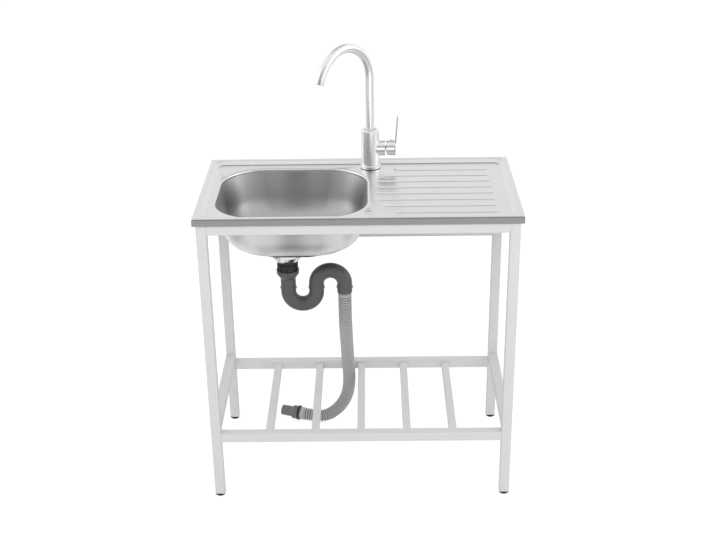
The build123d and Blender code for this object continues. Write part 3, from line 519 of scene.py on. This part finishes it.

# %% [markdown]
# ### Moulded plastics and rubber
#
# The trap is moulded polypropylene: dark grey, half glossy, with a skin that ripples a little
# where it cooled. The nuts and feet are black and duller. The hose and its connector are softer
# plastics. The hose's colour follows the rib height that was stored on the tube: darker in the
# valleys and paler on the crests. Rubber is matt, and its surface is grainy under about half a
# millimetre.

# %% Plastics and rubber
def moulded_plastic(name, hex_colour, roughness, grain_mm=1.2, relief_mm=0.02):
    """Moulded plastic with a fine uneven skin."""
    material, tree, shader = start_finish(name, hex_colour, roughness)
    waves = peel_bump(tree, shader, grain_mm, relief_mm)
    gloss = add_node(tree, "ShaderNodeMapRange",
                     {"To Min": roughness - 0.06, "To Max": roughness + 0.08},
                     {"Value": waves.outputs["Fac"]})
    tree.links.new(gloss.outputs["Result"], shader.inputs["Roughness"])
    return material


dress(moulded_plastic("moulded_polypropylene_trap", "#525355", 0.34), "s_trap")
dress(moulded_plastic("black_moulded_nylon", "#1F1F20", 0.42), "slip_nut", "strainer_locknut",
      "connector_ring", "aerator_mesh")
dress(moulded_plastic("black_foot_plastic", "#1B1B1C", 0.5),
      *[name for name in nodes if name.startswith(("leg_plug", "levelling_foot"))])
hose_plastic = moulded_plastic("blown_polyethylene_hose", "#B2B3B4", 0.45, 3.0, 0.03)
tree = hose_plastic.node_tree
rib = add_node(tree, "ShaderNodeAttribute", attribute_name="rib")
# darker in the rib valleys, paler on the crests
rib_tone = add_node(tree, "ShaderNodeMix", {"A": paint("#838485"), "B": paint("#BBBCBD")},
                    {"Factor": rib.outputs["Fac"]}, data_type="RGBA")
tree.links.new(rib_tone.outputs["Result"], tree.nodes["Principled BSDF"].inputs["Base Color"])
dress(hose_plastic, "ribbed_drain_hose", "drain_hose")
dress(moulded_plastic("moulded_connector_plastic", "#6E6F72", 0.4), "hose_connector")
dress(moulded_plastic("pale_cartridge_plastic", "#D8D6CE", 0.45), "mixer_cartridge",
      "spout_bush")
dress(moulded_plastic("black_rubber", "#161616", 0.75, 0.5, 0.03), "damping_pad",
      "strainer_gasket", "basket_stopper", "slip_washer", "tap_base_gasket",
      "mounting_gasket")

# %% [markdown]
# ## Floor, lamps and background
#
# The unit stands in a white studio: a plain pale floor, soft lamps at the front, left and
# right, a weak one behind for the shelf, and an even white surround. The camera and
# reflections see the surround as plain white; the parts are lit by it at a lower level, so
# that colours come out as they are written.
#
# Steel shows mostly what it reflects, and in a plain white surround it would look like
# paper. A photographer hangs cards around it. Here the surround itself is dimmed or
# brightened in a few directions, but only for reflections, so the floor and the matt parts
# don't change. The floor is left out of reflections, because the cards below the horizon
# stand in for it.

# %% Floor
floor_side = 30.0           # metres
floor_builder = bmesh.new()
bmesh.ops.create_grid(floor_builder, x_segments=1, y_segments=1, size=floor_side / 2)
floor_mesh = bpy.data.meshes.new("studio_floor")
floor_builder.to_mesh(floor_mesh)
floor_builder.free()
floor = bpy.data.objects.new("studio_floor", floor_mesh)
bpy.context.scene.collection.objects.link(floor)
floor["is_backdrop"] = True

# the camera sees the floor as mostly white, with the shadows of its lit part faintly on top
plain_white, plain_share = 1.16, 0.75
floor_paint, tree, shader = start_finish("matt_white_floor", "#F1F1F1", 0.9)
seen = add_node(tree, "ShaderNodeLightPath")
white = add_node(tree, "ShaderNodeEmission", {"Color": (1, 1, 1, 1), "Strength": plain_white})
share = add_node(tree, "ShaderNodeMath", {1: plain_share}, {0: seen.outputs["Is Camera Ray"]},
                 operation="MULTIPLY")
blend = add_node(tree, "ShaderNodeMixShader", None,
                 {0: share.outputs[0], 1: shader.outputs[0], 2: white.outputs[0]})
tree.links.new(blend.outputs[0], tree.nodes["Material Output"].inputs["Surface"])
floor_mesh.materials.append(floor_paint)
floor.visible_glossy = False
print("floor side:", floor_side, "m")

# %% Surround
matt_level = 0.76           # how much of the white surround lights the matt parts
world = bpy.data.worlds.new("white_studio")
bpy.context.scene.world = world
world.use_nodes = True
tree = world.node_tree
tree.nodes.clear()
# 1 for every ray that shows the surround: from the camera, off metal and through glass
seen = add_node(tree, "ShaderNodeLightPath")
shown = add_node(tree, "ShaderNodeMath", None,
                 {0: seen.outputs["Is Camera Ray"], 1: seen.outputs["Is Glossy Ray"]},
                 operation="MAXIMUM")
shown = add_node(tree, "ShaderNodeMath", None,
                 {0: shown.outputs[0], 1: seen.outputs["Is Transmission Ray"]},
                 operation="MAXIMUM")
level = add_node(tree, "ShaderNodeMapRange", {"To Min": matt_level, "To Max": 1.0},
                 {"Value": shown.outputs[0]})

# %% Cards round the steel
# where each card hangs, how wide it is and how soft its edge is (as cosines of the angle
# from its middle), and how much light it leaves, where more than 1 is a lit card
cards = [
    ((0.0, -0.45, -0.89), 0.80, 0.97, 0.15),
    ((0.0, 0.80, -0.60), 0.93, 0.99, 0.35),
    ((0.0, 0.64, 0.77), 0.90, 0.98, 0.40),
    ((-0.08, -0.937, 0.34), 0.74, 0.97, 0.32),
    ((-0.97, 0.0, 0.22), 0.84, 0.97, 1.7),
    ((0.97, 0.0, 0.22), 0.84, 0.97, 1.9),
    ((-0.91, -0.05, -0.41), 0.87, 0.98, 0.40),
    ((0.91, -0.05, -0.41), 0.87, 0.98, 0.50),
    ((0.0, 0.95, -0.31), 0.84, 0.97, 0.80),
]
way = add_node(tree, "ShaderNodeTexCoord").outputs["Generated"]
mirrored = None             # what reflections see: all the cards' shades, multiplied
for place, edge, middle, left in cards:
    nearness = add_node(tree, "ShaderNodeVectorMath", {1: place}, {0: way},
                        operation="DOT_PRODUCT")
    shade = add_node(tree, "ShaderNodeMapRange",
                     {"From Min": edge, "From Max": middle, "To Min": 1.0, "To Max": left},
                     {"Value": nearness.outputs["Value"]}, interpolation_type="SMOOTHSTEP")
    shade = shade.outputs["Result"]
    if mirrored is not None:
        shade = add_node(tree, "ShaderNodeMath", None, {0: mirrored, 1: shade},
                         operation="MULTIPLY").outputs[0]
    mirrored = shade
dimming = add_node(tree, "ShaderNodeMix", {"A": 1.0},
                   {"Factor": seen.outputs["Is Glossy Ray"], "B": mirrored})
strength = add_node(tree, "ShaderNodeMath", None,
                    {0: level.outputs["Result"], 1: dimming.outputs["Result"]},
                    operation="MULTIPLY")
surround = add_node(tree, "ShaderNodeBackground", {"Color": (1, 1, 1, 1)},
                    {"Strength": strength.outputs[0]})
add_node(tree, "ShaderNodeOutputWorld", None, {"Surface": surround.outputs[0]})
print("cards:", len(cards))

# %% Lamps
def soft_lamp(name, place, target, size, power):
    """Soft lamp that faces a target. Reflections see the cards and not the lamp."""
    data = bpy.data.lights.new(name, "AREA")
    data.shape = "RECTANGLE"
    data.size, data.size_y = size
    data.energy = power
    lamp = bpy.data.objects.new(name, data)
    turn = (Vector(target) - Vector(place)).to_track_quat("-Z", "Y").to_matrix().to_4x4()
    lamp.matrix_world = Matrix.Translation(place) @ turn
    lamp.visible_camera = False
    lamp.visible_glossy = False
    bpy.context.scene.collection.objects.link(lamp)
    return lamp


soft_lamp("key_lamp", (-1.6, -2.0, 2.6), (0, 0, 0.6), (1.6, 1.6), 14)
soft_lamp("front_lamp", (0.1, -2.3, 1.9), (0, 0, 0.7), (1.0, 1.0), 9)
soft_lamp("fill_lamp", (2.0, -1.6, 1.6), (0, 0, 0.5), (1.4, 1.4), 9)
soft_lamp("shelf_lamp", (0.3, 2.4, 1.3), (0, 0, 0.2), (1.4, 1.4), 11)

# %% [markdown]
# ### A lamp for the tap
#
# The tap would sink into the pale background. A narrow upright lamp lights its body, cap, nut
# and spout and nothing else, and its reflection is the bright line down their middle. The
# lever is left out, because it is flat and would turn white all over.

# %% Lamp for the tap
tap_lamp = soft_lamp("tap_lamp", (0.38, -1.5, 0.75), (0.03, 0.16, 0.95), (0.9, 1.3), 6)
tap_lamp.visible_glossy = True
tap_pieces = bpy.data.collections.new("tap_pieces")
for name in ("faucet_body", "handle_cap", "spout", "cartridge_nut"):
    tap_pieces.objects.link(nodes[name])
tap_lamp.light_linking.receiver_collection = tap_pieces
tap_lamp.light_linking.blocker_collection = tap_pieces
print("lamps:", len(bpy.data.lights))

# %% Plain colours
bpy.context.scene.view_settings.view_transform = "Standard"
print("view transform:", bpy.context.scene.view_settings.view_transform)

# %% [markdown]
# ## Finish
#
# The box of the dressed model is set next to the box of the measured one.

# %% Both boxes and finish
bpy.context.view_layer.update()
boxes = {"measured": [list(corner) for corner in measured_box],
         "dressed": [list(corner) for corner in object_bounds()]}
print("dressed box:", [round(value, 3) for value in boxes["dressed"][1]])
